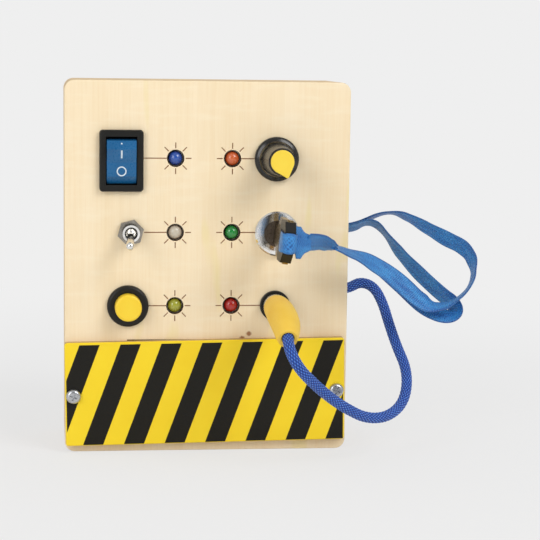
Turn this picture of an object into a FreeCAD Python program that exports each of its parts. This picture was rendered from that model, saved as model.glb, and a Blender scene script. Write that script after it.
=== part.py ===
import FreeCAD, Part
import math
import os

# Wooden busy board: a small plywood box with switches, lamps and plugs on its front.
# Millimetres. X to the right, Z up, the front faces -Y.
# The origin is the middle of the bottom face.

V = FreeCAD.Vector

# Case
PANEL_W = 98.0
PANEL_H = 128.0
CASE_DEPTH = 38.0
PLY = 3.0
WALL = 7.0
CORNER_R = 3.5
EDGE_EASE = 0.4

# Rows of lamps and controls
TOP_ROW_DROP = 26.3
LOW_ROW_GAP = 11.7
LAMP_LEFT_X = -11.2
LAMP_RIGHT_X = 8.3

# Centres of the controls, each beside its lamp
ROCKER_X = -29.7
ROCKER_DROP = 0.9
TOGGLE_X = -26.5
PUSH_X = -27.4
KNOB_X = 23.4
LOCK_X = 23.9
LOCK_DROP = 0.3
JACK_X = 23.5

# General clearances
FIT = 0.05
LOOSE = 0.1
RUN = 0.3
NUT_TURN = 30.0
RIGHT_ANGLE = 90.0

# Lamps
LAMP_D = 5.0
LAMP_HOLE_D = 6.0
LAMP_LENGTH = 8.6
LAMP_PROUD = 0.5
LAMP_FLANGE_D = 5.8
LAMP_FLANGE_T = 1.0
GLUE_D = 9.0
LEAD_SPACING = 2.54
LEAD_W = 0.6
LEAD_LENGTH = 8.9
RESISTOR_D = 2.4
RESISTOR_L = 6.5
RESISTOR_LEAD = 3.5

# Engraved rays round each lamp and lines to the controls
RAY_START = 3.4
RAY_END = 5.4
RAY_W = 0.36
RAY_DEPTH = 0.3

# Rocker switch
BEZEL_W = 15.0
BEZEL_H = 21.0
BEZEL_T = 2.0
BEZEL_R = 1.2
BEZEL_EASE = 0.6
ROCKER_W = 10.0
ROCKER_H = 15.4
ROCKER_SIDE = 1.5
ROCKER_BODY_DEPTH = 15.0
ROCKER_WELL = 8.0
ROCKER_TILT = 9.0
ROCKER_PIVOT_IN = 2.8
ROCKER_CENTRE_H = 3.2
ROCKER_BEVEL_L = 3.0
ROCKER_END_DROP = 0.6
ROCKER_END_GAP = 0.5
ROCKER_SKIRT = 1.0
ROCKER_KEEL = 3.0
ROCKER_PIN_D = 2.0
ROCKER_PIN_L = 1.1

# Toggle switch
TOGGLE_THREAD_D = 5.9
TOGGLE_BORE_D = 4.4
TOGGLE_PROUD = 5.5
TOGGLE_NUT = 8.0
TOGGLE_NUT_T = 2.0
TOGGLE_NUT_TURN = 15.0
TOGGLE_WASHER_D = 10.0
TOGGLE_WASHER_T = 0.8
TOGGLE_BODY_W = 8.0
TOGGLE_BODY_H = 13.0
TOGGLE_BODY_T = 10.0
TOGGLE_PIVOT_IN = 2.5
TOGGLE_LEVER_L = 11.9
TOGGLE_TIP_D = 2.9
TOGGLE_NECK_D = 1.9
TOGGLE_TAIL_L = 4.0
TOGGLE_TAIL_D = 1.4
TOGGLE_REST = 16.0
TOGGLE_LEAN = 13.0

# Push button
PUSH_RING_D = 14.3
PUSH_RING_T = 2.0
PUSH_RING_EASE = 1.2
PUSH_CAP_EASE = 0.7
PUSH_BODY_D = 11.8
PUSH_BODY_L = 15.0
PUSH_CAP_D = 9.1
PUSH_CAP_PROUD = 5.0
PUSH_STROKE = 2.5
PUSH_CAP_SKIRT = 5.0
PUSH_FLOOR = 2.0
PUSH_NUT = 14.0
PUSH_NUT_T = 2.5
SPRING_D = 6.4
SPRING_WIRE_D = 0.6
SPRING_TURNS = 4

# Rotary knob and what it turns
POT_BODY_D = 16.4
POT_BODY_T = 8.0
POT_THREAD_D = 7.0
POT_THREAD_PROUD = 3.5
POT_NUT = 10.0
POT_NUT_T = 2.2
POT_SHAFT_D = 6.0
POT_SHAFT_IN_BODY = 4.0
KNOB_SKIRT_D = 15.2
KNOB_SKIRT_T = 2.4
KNOB_BASE_D = 11.6
KNOB_TOP_D = 9.2
KNOB_HEIGHT = 17.0
KNOB_EASE = 0.6
KNOB_WELL_D = 12.4
KNOB_WELL_T = 4.6
KNOB_GRIP_L = 9.5
CAP_R = 3.97
CAP_TIP = 5.75
CAP_TIP_R = 0.5
CAP_T = 1.0
CAP_EASE = 0.3
CAP_STEM_D = 3.0
CAP_STEM_L = 1.6
CAP_TURN = 19.0

# Key switch
LOCK_RING_D = 15.4
LOCK_RING_T = 2.0
LOCK_RECESS_D = 11.3
LOCK_RECESS_T = 0.8
LOCK_EASE = 0.5
LOCK_CORE_PROUD = 0.2
LOCK_BODY_D = 12.0
LOCK_BODY_L = 18.5
LOCK_CORE_D = 9.0
LOCK_CORE_FLOOR = 1.0
LOCK_NUT = 16.0
LOCK_NUT_T = 2.5
LOCK_NOTCH_W = 3.4
LOCK_NOTCH_H = 1.7

# Key, drawn with its flat upright and then leaned
KEY_LEAN = 7.0
KEY_T = 1.8
KEY_BLADE_H = 6.8
KEY_TIP_IN = 15.5
KEY_SHOULDER_OUT = 8.0
KEY_PLATE_H = 13.4
KEY_TIPS_H = 14.6
KEY_TIPS_OUT = 29.0
KEY_HEAD_T = 3.6
KEY_HEAD_H = 13.6
KEY_HEAD_OUT = 20.5
KEY_HEAD_L = 13.0
KEY_SLOT_OUT = 23.2
KEY_SLOT_L = 3.0
KEY_SLOT_H = 7.4
KEY_TIP_SLOPE = 1.8
KEY_SHOULDER_L = 2.6
KEY_SHOULDER_LIP = 0.6
KEY_TIPS_L = 2.0
KEY_HEAD_CUT_IN = 1.4
KEY_HEAD_CUT_OUT = 3.0
KEYWAY_SPARE = 1.5

# Ribbon
RIBBON_W = 6.7
RIBBON_T = 0.8
STRAND_D = 2.4
LEAD_CORD_D = 5.2
FLAP_L = 7.2
FLAP_START_H = 10.4
FLAP_END_H = 4.4
FLAP_T = 1.8
WALL_HOLE_RIBBON_D = 5.8
KNOT_D = 8.6
KNOT_BITE = 0.3
STUB_IN = 1.0

# Socket and plug
JACK_FLANGE_D = 10.4
JACK_FLANGE_T = 1.5
JACK_BARREL_D = 8.3
JACK_BARREL_BORE_D = 6.6
JACK_BARREL_PROUD = 9.5
JACK_BARREL_IN = 11.0
JACK_NUT = 11.0
JACK_NUT_T = 2.2
PLUG_PIN_D = 3.2
PLUG_PIN_L = 17.0
PLUG_SHELL_D = 9.0
PLUG_SHELL_CAP_T = 1.4
PLUG_INSULATOR_D = 5.0
PLUG_INSULATOR_L = 3.6
PLUG_PIN_TIP_L = 1.2
JACK_INSULATOR_IN = 1.5
JACK_INSULATOR_FLOOR = 2.0
JACK_EASE = 0.4
ROPE_D = 3.8
ROPE_SEAT_D = 4.4
ROPE_SEAT_T = 1.3

# Battery box and its cover
COVER_W_LESS = 1.0
COVER_R = 1.0
COVER_H = 36.0
COVER_T = 3.0
COVER_TURN = 0.85
COVER_X = -0.42
COVER_Z = 21.2
SCREW_INSET = 2.9
SCREW_SPAN = PANEL_W - COVER_W_LESS - 2 * SCREW_INSET
SCREW_DROP = 0.55
SCREW_HEAD_D = 5.1
SCREW_HEAD_T = 1.7
SCREW_HEAD_EASE = 1.2
SCREW_TIP_L = 2.0
CROSS_L = 2.6
CROSS_W = 0.5
CROSS_DEPTH = 0.8
CROSS_TURN = 20.0
SCREW_D = 2.5
SCREW_L = 12.0
SLOT_H = 30.65
SLOT_BOTTOM = 8.5
HOLDER_LAP = 1.3
HOLDER_WALL = 1.2
CELL_D = 14.5
CELL_L = 49.5
CELL_NUB_D = 5.5
CELL_NUB_L = 1.0
CELL_PITCH = 15.1
CELL_SET_BACK = 1.5
CONTACT_T = 0.5
CONTACT_W = 10.0
CONTACT_INSET = 1.0
CELL_SIDE_GAP = 0.2
CELL_END_ROOM = 2.35
SLOT_W = CELL_L + CELL_NUB_L + 2 * CELL_END_ROOM
LUG_W = 2.0

# Wiring
TAB_W = 3.0
TAB_T = 0.6
TAB_L = 5.0
TAB_OFFSET = 3.2
WIRE_D = 1.0
WIRE_BEND = 2.0
FEED_Y = 9.0
LED_WIRE_Y = 12.0
CROSS_WIRE_Y = 14.3
GROUND_Y = -3.6
GROUND_STRIP = 0.8
WALL_WIRE_GAP = 2.5
WIRE_SPARE = 0.6
STRIP_UNDER = 5.0
STRIP_OVER = 1.0
LINK_D = 0.72

# Routes chosen by hand along the cords' centre lines, for a wall, a lock and a socket drawn here
DRAWN_WALL_X = 49.0
DRAWN_LOCK = V(23.9, 0.0, 76.0)
DRAWN_JACK = V(23.5, 0.0, 50.9)
ROPE = [V(23.5, -55.6, 45.9), V(23.0, -60.6, 43.8), V(24.2, -63.9, 40.0), V(27.0, -63.6, 35.6),
        V(31.4, -59.4, 31.0), V(37.4, -54.0, 25.4), V(44.0, -49.4, 20.4), V(52.5, -43.5, 15.4),
        V(61.8, -36.0, 14.6), V(68.6, -28.6, 19.0), V(70.6, -21.0, 27.6), V(67.8, -14.0, 35.6),
        V(65.8, -9.2, 42.8), V(64.2, -5.2, 49.6), V(61.4, -2.2, 55.2), V(56.6, -0.4, 56.8),
        V(52.4, 0.0, 54.2), V(49.0, 0.0, 54.2)]
STRAND_A = [V(49.0, 1.4, 76.0), V(54.0, 1.4, 76.0), V(60.5, 0.8, 80.0), V(66.5, -0.6, 82.0),
            V(72.5, -3.0, 80.6), V(79.5, -6.4, 76.6), V(86.5, -9.8, 73.0), V(92.5, -12.6, 70.6),
            V(96.4, -14.8, 66.8), V(96.2, -16.6, 61.6), V(92.6, -18.0, 56.6), V(87.6, -19.6, 52.4),
            V(81.6, -21.0, 50.2), V(75.0, -22.8, 52.0), V(66.5, -25.8, 59.5), V(57.0, -29.8, 66.5),
            V(47.0, -34.8, 70.8), V(40.55, -38.17, 73.18)]
STRAND_B = [V(49.0, -1.4, 76.0), V(53.4, -1.4, 76.0), V(57.6, -1.6, 78.4), V(61.6, -2.0, 78.0),
            V(65.0, -3.2, 74.4), V(70.0, -5.6, 67.4), V(77.0, -8.8, 60.0), V(84.0, -12.0, 53.6),
            V(88.8, -14.2, 50.8), V(89.6, -15.8, 47.6), V(86.0, -17.0, 46.0), V(79.6, -18.2, 47.6),
            V(73.0, -20.0, 53.0), V(65.5, -23.0, 60.2), V(56.5, -27.0, 66.8), V(47.0, -32.0, 70.8),
            V(39.5, -36.0, 73.6)]
LEAD_ROUTE = [V(40.0, -37.1, 73.4), V(36.2, -39.1, 74.8), V(32.4, -42.0, 75.2)]

# Sections of the plug's soft boot: distance out of the panel, shift to the right and down
# from the socket's centre, radius, and degrees it points down
BOOT_SECTIONS = [(4.0, 0.0, 0.0, 4.25, 0.0), (6.5, 0.0, 0.0, 4.5, 1.0), (12.0, 0.1, 0.2, 4.8, 4.0),
                 (19.0, 0.2, 0.9, 5.0, 9.0), (26.0, 0.4, 2.3, 4.9, 14.0), (32.0, 0.3, 4.0, 4.4, 19.0),
                 (36.0, 0.0, 5.3, 3.7, 22.0), (37.9, -0.1, 6.0, 3.2, 23.0)]

# Planes and rows that follow from the sizes above
FACE = -CASE_DEPTH / 2
FACE_IN = FACE + PLY
BACK = CASE_DEPTH / 2
BACK_IN = BACK - PLY
HALF_W = PANEL_W / 2
LOW_ROW_Z = COVER_Z + COVER_H / 2 + LOW_ROW_GAP
ROW_PITCH = (PANEL_H - TOP_ROW_DROP - LOW_ROW_Z) / 2
ROWS = [PANEL_H - TOP_ROW_DROP - ROW_PITCH * i for i in range(3)]
ROCKER_Z = ROWS[0] - ROCKER_DROP
TOGGLE_Z = ROWS[1]
PUSH_Z = ROWS[2]
KNOB_Z = ROWS[0]
LOCK_Z = ROWS[1] - LOCK_DROP
JACK_Z = ROWS[2]
WALL_HOLE_RIBBON_Z = LOCK_Z
SLOT_TOP = SLOT_BOTTOM + SLOT_H
LUG_OUT = (PANEL_W / 2 - WALL - SLOT_W / 2 - HOLDER_LAP - WALL_WIRE_GAP - 2 * WIRE_D - WIRE_SPARE) / 2
SLOT_Z = SLOT_BOTTOM + SLOT_H / 2


def fitted(route, start, end):
    """Route moved by start at its first point and by end at its last, and between them by its share."""
    last = len(route) - 1
    return [point + start * (1 - i / last) + end * (i / last) for i, point in enumerate(route)]


AT_LOCK = V(LOCK_X, 0, LOCK_Z) - DRAWN_LOCK
AT_JACK = V(JACK_X, 0, JACK_Z) - DRAWN_JACK
AT_WALL = V(PANEL_W / 2 - DRAWN_WALL_X, 0, 0)
AT_RIBBON_HOLE = AT_WALL + V(0, 0, AT_LOCK.z)
ROPE = fitted(ROPE, AT_JACK, AT_WALL)
STRAND_A = fitted(STRAND_A, AT_RIBBON_HOLE, AT_LOCK)
STRAND_B = fitted(STRAND_B, AT_RIBBON_HOLE, AT_LOCK)
LEAD_ROUTE = fitted(LEAD_ROUTE, AT_LOCK, AT_LOCK)

parts = {}


def box(x0, x1, y0, y1, z0, z1):
    return Part.makeBox(x1 - x0, y1 - y0, z1 - z0, V(x0, y0, z0))


def rod(x, z, radius, y0, y1):
    """Round bar along Y."""
    return Part.makeCylinder(radius, y1 - y0, V(x, y0, z), V(0, 1, 0))


def sleeve(x, z, outer, inner, y0, y1):
    """Round tube along Y."""
    return rod(x, z, outer, y0, y1).cut(rod(x, z, inner, y0 - 1, y1 + 1))


def prism(points, y0, y1):
    """Straight-sided prism along Y over an outline of (x, z) points."""
    corners = [V(x, y0, z) for x, z in points]
    face = Part.Face(Part.makePolygon(corners + corners[:1]))
    return face.extrude(V(0, y1 - y0, 0))


def turned(x, z, profile):
    """Solid of revolution about the line along Y through (x, z), from (radius, y) points."""
    corners = [V(x + radius, y, z) for radius, y in profile]
    face = Part.Face(Part.makePolygon(corners + corners[:1]))
    return face.revolve(V(x, 0, z), V(0, 1, 0), 360)


def hexagon(x, z, across_flats, y0, y1, turn=0.0):
    radius = across_flats / math.sqrt(3)
    angles = [math.radians(turn + 60 * i) for i in range(6)]
    return prism([(x + radius * math.cos(a), z + radius * math.sin(a)) for a in angles], y0, y1)


def rounded(x, z, width, height, radius, y0, y1):
    """Block along Y with rounded upright corners."""
    block = box(x - width / 2, x + width / 2, y0, y1, z - height / 2, z + height / 2)
    corners = [e for e in block.Edges if abs(e.Vertexes[0].Y - e.Vertexes[1].Y) > 1e-6]
    return block.makeFillet(radius, corners)


def ease(shape, y, size):
    """Round over every edge that lies in the plane at y."""
    edges = [e for e in shape.Edges if all(abs(v.Y - y) < 1e-6 for v in e.Vertexes)]
    return shape.makeFillet(size, edges)


def lean(shape, x, z, degrees):
    """Turn about the line along Y through (x, z), clockwise as seen from the front."""
    turned_shape = shape.copy()
    turned_shape.rotate(V(x, 0, z), V(0, 1, 0), degrees)
    return turned_shape


def path_of(points, bend=None):
    """Straight runs joined by tangent arcs: the wire and the arcs' radii."""
    edges = []
    radii = []
    start = points[0]
    for before, corner, after in zip(points, points[1:], points[2:]):
        back = corner - before
        ahead = after - corner
        half_turn = back.getAngle(ahead) / 2
        reach = 0.45 * min(back.Length, ahead.Length)
        if bend:
            reach = bend * math.tan(half_turn)
        radius = reach / math.tan(half_turn)
        back.normalize()
        ahead.normalize()
        arc_start = corner - back * reach
        arc_end = corner + ahead * reach
        inward = (ahead - back).normalize()
        middle = corner + inward * (radius / math.cos(half_turn) - radius)
        edges.append(Part.LineSegment(start, arc_start).toShape())
        edges.append(Part.Arc(arc_start, middle, arc_end).toShape())
        radii.append(radius)
        start = arc_end
    edges.append(Part.LineSegment(start, points[-1]).toShape())
    return Part.Wire(edges), radii


def swept(points, diameter, bend=None):
    path, radii = path_of(points, bend)
    ring = Part.Wire(Part.makeCircle(diameter / 2, points[0], points[1] - points[0]))
    return path.makePipeShell([ring], True, False), path.Length, radii


def cord(name, points, diameter):
    """Tube along a cord's route, with its length, radii and volume printed."""
    solid, length, radii = swept(points, diameter)
    expected = math.pi * diameter ** 2 / 4 * length
    print(name, "length", round(length, 1), "least radius", round(min(radii), 1),
          "volume over section x length", round(solid.Volume / expected, 4))
    print("   radii", [round(r, 1) for r in radii])
    return solid


def wire(points, diameter=WIRE_D):
    return swept(points, diameter, WIRE_BEND)[0]


# Case
def case_block(y0, y1):
    return rounded(0, PANEL_H / 2, PANEL_W, PANEL_H, CORNER_R, y0, y1)


def screw_places():
    turn = math.radians(COVER_TURN)
    for side in (-1, 1):
        along = side * SCREW_SPAN / 2
        x = COVER_X + along * math.cos(turn) + SCREW_DROP * math.sin(turn)
        z = COVER_Z + along * math.sin(turn) - SCREW_DROP * math.cos(turn)
        yield x, z


def rays(lamp_x, z, control_edge):
    """Engraved rays round one lamp, the one towards its control drawn out to reach it."""
    side = math.copysign(1, control_edge - lamp_x)
    grooves = []
    for i in range(8):
        if i * 45 == (0 if side > 0 else 180):
            continue
        ray = box(lamp_x + RAY_START, lamp_x + RAY_END, FACE - 1, FACE + RAY_DEPTH,
                  z - RAY_W / 2, z + RAY_W / 2)
        grooves.append(lean(ray, lamp_x, z, -45 * i))
    near = lamp_x + side * LAMP_HOLE_D / 2
    line = box(min(near, control_edge), max(near, control_edge), FACE - 1, FACE + RAY_DEPTH,
               z - RAY_W / 2, z + RAY_W / 2)
    return grooves + [line]


def front_panel():
    panel = ease(case_block(FACE, FACE_IN), FACE, EDGE_EASE)
    grooves = []
    left_edges = [ROCKER_X + BEZEL_W / 2, TOGGLE_X + TOGGLE_NUT / math.sqrt(3),
                  PUSH_X + PUSH_RING_D / 2]
    right_edges = [KNOB_X - KNOB_SKIRT_D / 2, LOCK_X - LOCK_RING_D / 2, JACK_X - JACK_FLANGE_D / 2]
    for z, left, right in zip(ROWS, left_edges, right_edges):
        grooves += rays(LAMP_LEFT_X, z, left)
        grooves += rays(LAMP_RIGHT_X, z, right)
    out = FACE - 1
    deep = FACE_IN + 1
    holes = [rod(x, z, LAMP_HOLE_D / 2, out, deep) for z in ROWS for x in (LAMP_LEFT_X, LAMP_RIGHT_X)]
    half_w = ROCKER_W / 2 + ROCKER_SIDE + LOOSE
    half_h = ROCKER_H / 2 + ROCKER_SIDE + LOOSE
    holes.append(box(ROCKER_X - half_w, ROCKER_X + half_w, out, deep, ROCKER_Z - half_h, ROCKER_Z + half_h))
    holes.append(rod(TOGGLE_X, TOGGLE_Z, TOGGLE_THREAD_D / 2 + LOOSE, out, deep))
    holes.append(rod(PUSH_X, PUSH_Z, PUSH_BODY_D / 2 + LOOSE, out, deep))
    holes.append(rod(KNOB_X, KNOB_Z, POT_THREAD_D / 2 + LOOSE, out, deep))
    holes.append(rod(LOCK_X, LOCK_Z, LOCK_BODY_D / 2 + LOOSE, out, deep))
    holes.append(rod(JACK_X, JACK_Z, JACK_BARREL_D / 2 + LOOSE, out, deep))
    holes.append(box(-SLOT_W / 2, SLOT_W / 2, out, deep, SLOT_BOTTOM, SLOT_TOP))
    holes += [rod(x, z, SCREW_D / 2 + FIT, out, deep) for x, z in screw_places()]
    return panel.cut(Part.makeCompound(holes)).cut(Part.makeCompound(grooves))


def case_walls():
    inner = box(-HALF_W + WALL, HALF_W - WALL, FACE_IN - 1, BACK_IN + 1, WALL, PANEL_H - WALL)
    ring = case_block(FACE_IN, BACK_IN).cut(inner)
    side = HALF_W - WALL
    left = ring.common(box(-HALF_W - 1, -side, FACE_IN, BACK_IN, -1, PANEL_H + 1))
    right = ring.common(box(side, HALF_W + 1, FACE_IN, BACK_IN, -1, PANEL_H + 1))
    bottom = ring.common(box(-side, side, FACE_IN, BACK_IN, -1, WALL))
    top = ring.common(box(-side, side, FACE_IN, BACK_IN, PANEL_H - WALL, PANEL_H + 1))
    pilots = [rod(x, z, SCREW_D / 2 + FIT, FACE_IN - 1, FACE + SCREW_L) for x, z in screw_places()]
    left = left.cut(pilots[0])
    right = right.cut(pilots[1])
    for z, diameter in ((ROPE[-1].z, ROPE_D), (WALL_HOLE_RIBBON_Z, WALL_HOLE_RIBBON_D)):
        hole = Part.makeCylinder(diameter / 2 + LOOSE, WALL + 2, V(side - 1, 0, z), V(1, 0, 0))
        right = right.cut(hole)
    parts["left_wall"] = left
    parts["right_wall"] = right
    parts["bottom_wall"] = bottom
    parts["top_wall"] = top


def end_knots():
    """Knots inside the right wall, each with the stub that fills its hole."""
    side = HALF_W - WALL
    knots = []
    for z, diameter in ((ROPE[-1].z, ROPE_D), (WALL_HOLE_RIBBON_Z, WALL_HOLE_RIBBON_D)):
        ball = Part.makeSphere(KNOT_D / 2, V(side - KNOT_D / 2 + KNOT_BITE, 0, z))
        ball = ball.cut(box(side, side + KNOT_D, -KNOT_D, KNOT_D, z - KNOT_D, z + KNOT_D))
        stub = Part.makeCylinder(diameter / 2, WALL + STUB_IN, V(side - STUB_IN, 0, z), V(1, 0, 0))
        knots.append(ball.fuse(stub))
    return Part.makeCompound(knots)


# Rocker switch
def rocker():
    front = FACE - BEZEL_T
    well_w = ROCKER_W + 2 * RUN
    well_h = ROCKER_H + 2 * ROCKER_END_GAP
    bezel = ease(rounded(ROCKER_X, ROCKER_Z, BEZEL_W, BEZEL_H, BEZEL_R, front, FACE), front, BEZEL_EASE)
    body = box(ROCKER_X - ROCKER_W / 2 - ROCKER_SIDE, ROCKER_X + ROCKER_W / 2 + ROCKER_SIDE,
               FACE, FACE + ROCKER_BODY_DEPTH,
               ROCKER_Z - ROCKER_H / 2 - ROCKER_SIDE, ROCKER_Z + ROCKER_H / 2 + ROCKER_SIDE)
    well = box(ROCKER_X - well_w / 2, ROCKER_X + well_w / 2, front - 1, front + ROCKER_WELL,
               ROCKER_Z - well_h / 2, ROCKER_Z + well_h / 2)
    pivot_y = front + ROCKER_PIVOT_IN
    half_pin = ROCKER_W / 2 + ROCKER_PIN_L
    socket = Part.makeCylinder(ROCKER_PIN_D / 2 + FIT, 2 * half_pin + 2 * LOOSE,
                               V(ROCKER_X - half_pin - LOOSE, pivot_y, ROCKER_Z), V(1, 0, 0))
    parts["rocker_housing"] = bezel.fuse(body).cut(well).cut(socket).removeSplitter()

    # The rocker's side view: two faces that meet in a shallow valley, with sloped ends
    h = ROCKER_CENTRE_H
    end = ROCKER_H / 2 - RUN
    ridge = ROCKER_H / 2 - ROCKER_BEVEL_L
    rise = ridge * math.tan(math.radians(ROCKER_TILT))
    low = h - ROCKER_END_DROP
    outline = [(-end, -ROCKER_SKIRT), (-end, low), (-ridge, h + rise), (0.0, h), (ridge, h + rise),
               (end, low), (end, -ROCKER_SKIRT), (ROCKER_KEEL, -ROCKER_KEEL), (-ROCKER_KEEL, -ROCKER_KEEL)]
    corners = [V(ROCKER_X - ROCKER_W / 2, pivot_y - up, ROCKER_Z + along) for along, up in outline]
    face = Part.Face(Part.makePolygon(corners + corners[:1]))
    button = face.extrude(V(ROCKER_W, 0, 0))
    pin = Part.makeCylinder(ROCKER_PIN_D / 2, 2 * half_pin,
                            V(ROCKER_X - half_pin, pivot_y, ROCKER_Z), V(1, 0, 0))
    button = button.fuse(pin)
    button.rotate(V(ROCKER_X, pivot_y, ROCKER_Z), V(1, 0, 0), ROCKER_TILT)
    parts["rocker_button"] = button


# Toggle switch, drawn upright and then leaned about its own axis
def toggle():
    x, z = TOGGLE_X, TOGGLE_Z
    tip_y = FACE - TOGGLE_PROUD
    body_y = FACE_IN + TOGGLE_WASHER_T
    bushing = sleeve(x, z, TOGGLE_THREAD_D / 2, TOGGLE_BORE_D / 2, tip_y, body_y)
    bore = TOGGLE_THREAD_D / 2 + FIT
    nut = hexagon(x, z, TOGGLE_NUT, FACE - TOGGLE_NUT_T, FACE, TOGGLE_NUT_TURN)
    nut = nut.cut(rod(x, z, bore, FACE - 5, FACE + 5))
    parts["toggle_bushing"] = bushing
    parts["toggle_nut"] = nut
    parts["toggle_washer"] = sleeve(x, z, TOGGLE_WASHER_D / 2, bore, FACE_IN, body_y)
    body = box(x - TOGGLE_BODY_W / 2, x + TOGGLE_BODY_W / 2, body_y, body_y + TOGGLE_BODY_T,
               z - TOGGLE_BODY_H / 2, z + TOGGLE_BODY_H / 2)
    parts["toggle_body"] = lean(body, x, z, TOGGLE_LEAN)

    pivot_y = tip_y + TOGGLE_PIVOT_IN
    ball = Part.makeSphere(TOGGLE_BORE_D / 2 - FIT, V(x, pivot_y, z))
    tip = Part.makeSphere(TOGGLE_TIP_D / 2, V(x, pivot_y - TOGGLE_LEVER_L, z))
    stem = Part.makeCone(TOGGLE_TIP_D / 2, TOGGLE_NECK_D / 2, TOGGLE_LEVER_L,
                         V(x, pivot_y - TOGGLE_LEVER_L, z), V(0, 1, 0))
    tail = rod(x, z, TOGGLE_TAIL_D / 2, pivot_y, pivot_y + TOGGLE_TAIL_L)
    lever = ball.fuse([stem, tip, tail])
    lever.rotate(V(x, pivot_y, z), V(1, 0, 0), TOGGLE_REST)
    parts["toggle_lever"] = lean(lever, x, z, TOGGLE_LEAN)


# Push button
def spring_coil(x, z, y0, y1):
    """Helix of half-turn arcs along Y between the two planes."""
    radius = SPRING_D / 2
    start = y0 + SPRING_WIRE_D / 2
    rise = (y1 - y0 - SPRING_WIRE_D) / (2 * SPRING_TURNS)

    def point(half_turns):
        a = math.pi * half_turns
        return V(x + radius * math.cos(a), start + rise * half_turns, z + radius * math.sin(a))

    arcs = []
    for i in range(4 * SPRING_TURNS):
        arcs.append(Part.Arc(point(i / 2), point(i / 2 + 0.25), point(i / 2 + 0.5)).toShape())
    path = Part.Wire(arcs)
    ring = Part.Wire(Part.makeCircle(SPRING_WIRE_D / 2, point(0), arcs[0].tangentAt(0)))
    print("push spring gap between turns", round(2 * rise - SPRING_WIRE_D, 2))
    return path.makePipeShell([ring], True, False)


def push_button():
    x, z = PUSH_X, PUSH_Z
    ring_y = FACE - PUSH_RING_T
    cap_y = ring_y - PUSH_CAP_PROUD
    cap_end = ring_y + PUSH_CAP_SKIRT
    body_end = FACE + PUSH_BODY_L
    bore = PUSH_CAP_D / 2 + LOOSE
    well_end = body_end - PUSH_FLOOR
    ring = ease(rod(x, z, PUSH_RING_D / 2, ring_y, FACE), ring_y, PUSH_RING_EASE)
    housing = ring.fuse(rod(x, z, PUSH_BODY_D / 2, FACE, body_end))
    parts["push_housing"] = housing.cut(rod(x, z, bore, ring_y - 1, well_end)).removeSplitter()
    nut_end = FACE_IN + PUSH_NUT_T
    nut = hexagon(x, z, PUSH_NUT, FACE_IN, nut_end, NUT_TURN)
    parts["push_nut"] = nut.cut(rod(x, z, PUSH_BODY_D / 2 + FIT, FACE_IN - 1, nut_end + 1))
    cap = rod(x, z, PUSH_CAP_D / 2, cap_y, cap_end)
    parts["push_cap"] = ease(cap, cap_y, PUSH_CAP_EASE)
    # The spring is drawn at its pressed length, so that the cap has its full stroke
    parts["push_spring"] = spring_coil(x, z, cap_end + PUSH_STROKE + RUN, well_end)


# Rotary knob
def rotary():
    x, z = KNOB_X, KNOB_Z
    thread_y = FACE - POT_THREAD_PROUD
    body_end = FACE_IN + POT_BODY_T
    shaft_end = FACE_IN + POT_SHAFT_IN_BODY
    shaft_bore = POT_SHAFT_D / 2 + FIT
    body = rod(x, z, POT_BODY_D / 2, FACE_IN, body_end)
    parts["pot_body"] = body.cut(rod(x, z, shaft_bore, FACE_IN - 1, shaft_end + RUN))
    parts["pot_bushing"] = sleeve(x, z, POT_THREAD_D / 2, shaft_bore, thread_y, FACE_IN)
    nut = hexagon(x, z, POT_NUT, FACE - POT_NUT_T, FACE)
    parts["pot_nut"] = nut.cut(rod(x, z, POT_THREAD_D / 2 + FIT, FACE - 5, FACE + 5))

    bottom = FACE - RUN
    top = FACE - KNOB_HEIGHT
    well_top = FACE - KNOB_WELL_T
    grip_end = well_top - KNOB_GRIP_L
    parts["pot_shaft"] = rod(x, z, POT_SHAFT_D / 2, grip_end + RUN, shaft_end)
    skirt_top = bottom - KNOB_SKIRT_T
    edge = KNOB_EASE
    body = turned(x, z, [(0, top), (KNOB_TOP_D / 2 - edge, top), (KNOB_TOP_D / 2, top + edge),
                         (KNOB_BASE_D / 2, skirt_top - edge), (KNOB_SKIRT_D / 2 - edge, skirt_top),
                         (KNOB_SKIRT_D / 2, skirt_top + edge), (KNOB_SKIRT_D / 2, bottom), (0, bottom)])
    hollows = [rod(x, z, KNOB_WELL_D / 2, well_top, bottom + 1),
               rod(x, z, POT_SHAFT_D / 2 + FIT, grip_end, bottom + 1),
               rod(x, z, CAP_STEM_D / 2 + FIT, top - 1, top + CAP_STEM_L + LOOSE)]
    parts["knob_body"] = body.cut(Part.makeCompound(hollows))
    parts["knob_cap"] = lean(pointer_cap(x, z, top), x, z, -CAP_TURN)


def pointer_cap(x, z, seat_y):
    """Drop-shaped cap whose tip points straight down, with its stem in the knob."""
    front = seat_y - CAP_T
    tip_z = CAP_TIP - CAP_TIP_R
    slope = math.asin((CAP_R - CAP_TIP_R) / tip_z)
    big = (CAP_R * math.cos(slope), -CAP_R * math.sin(slope))
    small = (CAP_TIP_R * math.cos(slope), -tip_z - CAP_TIP_R * math.sin(slope))

    def at(point, side):
        return V(side * point[0], front, point[1])

    crown = V(0, front, CAP_R)
    nose = V(0, front, -CAP_TIP)
    outline = Part.Wire([Part.Arc(at(big, -1), crown, at(big, 1)).toShape(),
                         Part.LineSegment(at(big, 1), at(small, 1)).toShape(),
                         Part.Arc(at(small, 1), nose, at(small, -1)).toShape(),
                         Part.LineSegment(at(small, -1), at(big, -1)).toShape()])
    cap = Part.Face(outline).extrude(V(0, CAP_T, 0))
    cap = ease(cap, front, CAP_EASE)
    cap = cap.fuse(rod(0, 0, CAP_STEM_D / 2, seat_y - CAP_T / 2, seat_y + CAP_STEM_L))
    cap.translate(V(x, 0, z))
    return cap


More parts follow.
